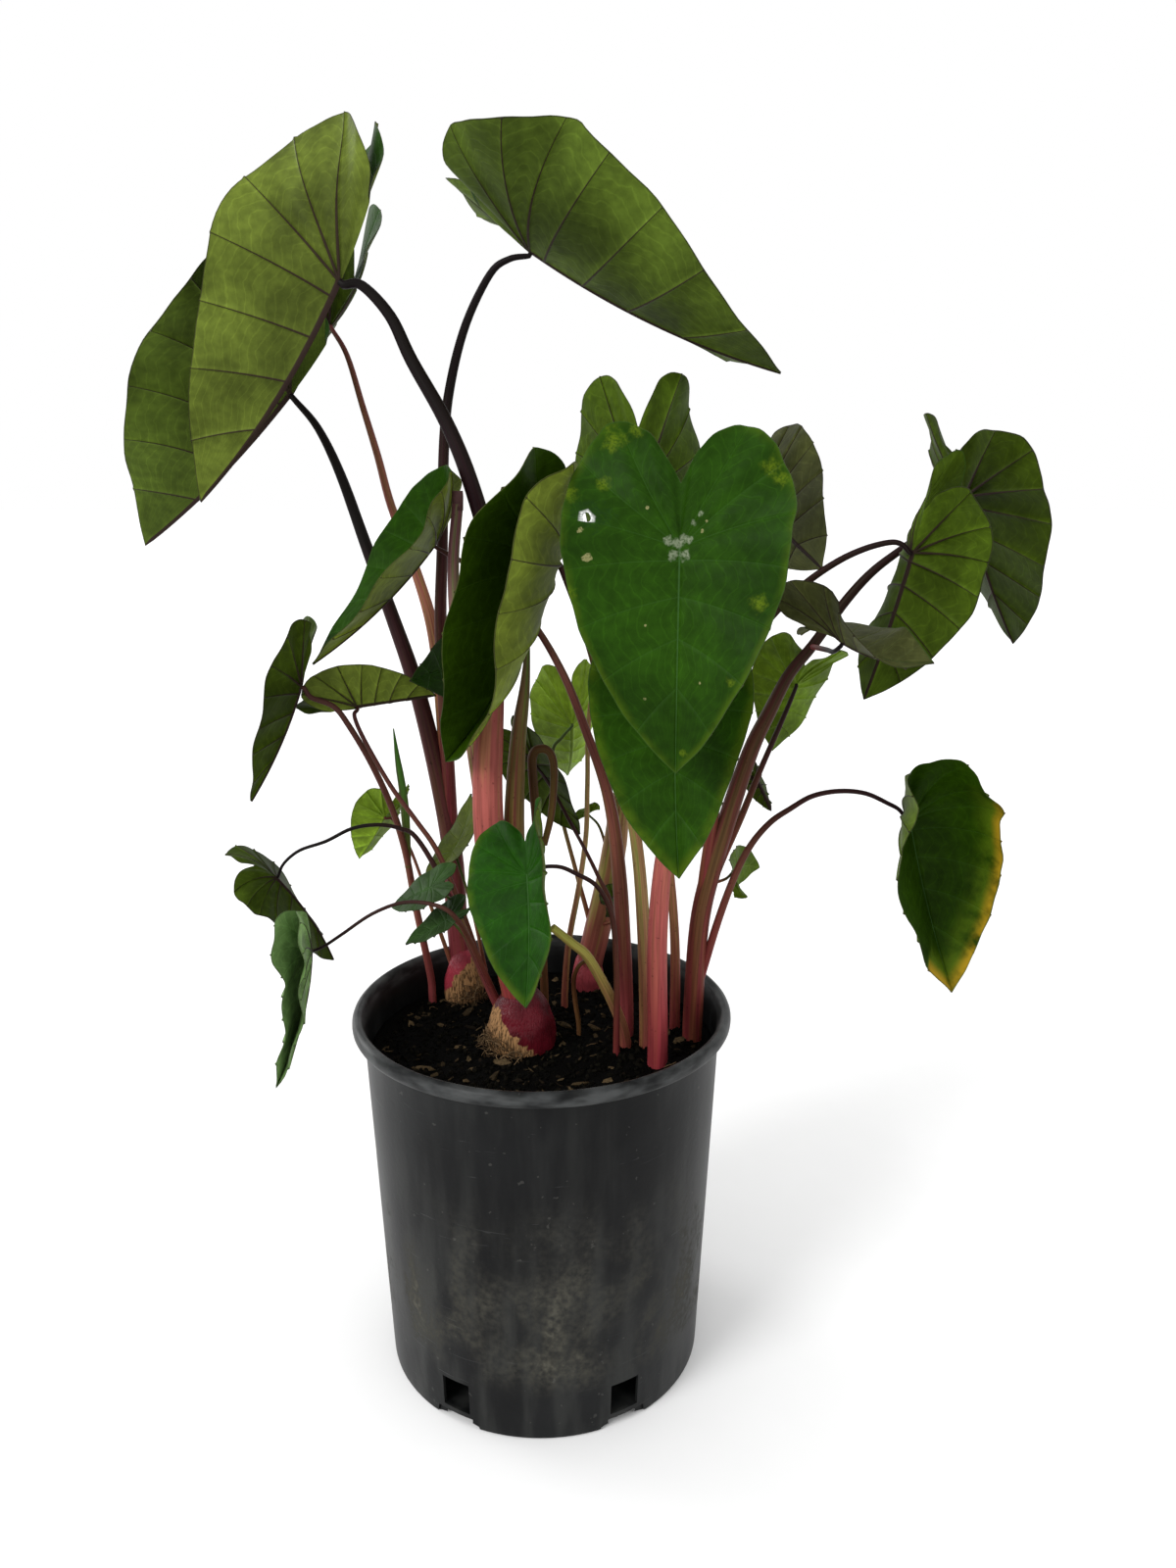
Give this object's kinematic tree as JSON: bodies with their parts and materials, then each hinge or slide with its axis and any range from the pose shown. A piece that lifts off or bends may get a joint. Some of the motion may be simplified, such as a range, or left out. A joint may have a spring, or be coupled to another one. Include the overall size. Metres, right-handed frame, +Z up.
{
  "type": "potted elephant ear",
  "caption": "Clump of heart-shaped elephant ear leaves on long arching stems, growing from corms in a round black nursery pot filled with soil.",
  "frame": {"origin": "middle of the pot foot on the floor", "axes": "+Z up; the side of the plant seen in the picture faces -Y, with its left towards -X"},
  "size_m": [0.6173, 0.4184, 0.7953],
  "materials": {
    "pot_plastic": "matt black moulded polypropylene, scuffed and dusty",
    "soil": null,
    "leaf_green": null,
    "leaf_under": "leaf turned to show its olive underside with dark veins; fabric stands in for leaf",
    "leaf_pale": "pale green leaf with light through it; fabric stands in for leaf",
    "stem_dark": null,
    "stem_pink": "pink and yellow-green streaked stem, smooth; fabric stands in for plant stem",
    "stem_red": "bright pink-red stem, smooth; fabric stands in for plant stem",
    "stem_yellow": "yellowing stem, smooth; fabric stands in for plant stem",
    "withered": "dry brown stem; fabric stands in for plant stem"
  },
  "bodies": {
    "root": {"pot": "pot_plastic", "soil": "soil", "shoot_front": "stem_pink", "shoot_back_left": "stem_pink", "shoot_mid_back": "stem_pink", "shoot_right": "stem_dark", "stem_left_thin": "stem_pink", "stem_crossing": "stem_pink", "stem_striped": "stem_pink", "stem_arching_front": "stem_pink", "stem_dark_low": "stem_pink", "stem_back_thin": "stem_dark", "stem_bright_front": "stem_red", "stem_lower_heart": "stem_pink", "stem_bent_yellow": "stem_yellow", "stem_withered": "withered", "leaf_upper_left": "leaf_under", "leaf_far_left": "leaf_under", "leaf_behind_upper": "leaf_under", "leaf_upper_right": "leaf_under", "leaf_left_folded": "leaf_green", "leaf_centre_folded": "leaf_green", "leaf_front_heart": "leaf_green", "leaf_lower_heart": "leaf_green", "leaf_back_top": "leaf_pale", "leaf_back_right": "leaf_under", "leaf_curled": "leaf_under", "leaf_right": "leaf_under", "leaf_far_right": "leaf_under", "leaf_yellow_edge": "leaf_green", "leaf_pale_right": "leaf_pale", "leaf_small_round": "leaf_pale", "leaf_small_tip": "leaf_green", "leaf_pale_centre": "leaf_pale", "leaf_dark_low": "leaf_green", "leaf_front_low": "leaf_green", "leaf_pale_left": "leaf_pale", "leaf_narrow_left": "leaf_green", "leaf_side_left": "leaf_under", "leaf_low_left": "leaf_under", "leaf_hanging_left": "leaf_green", "leaf_young_left": "leaf_green", "leaf_young_low": "leaf_green", "leaf_young_upright": "leaf_under", "leaf_small_back": "leaf_pale", "leaf_small_dark": "leaf_green", "leaf_behind_left": "leaf_green"}
  },
  "joints": []
}
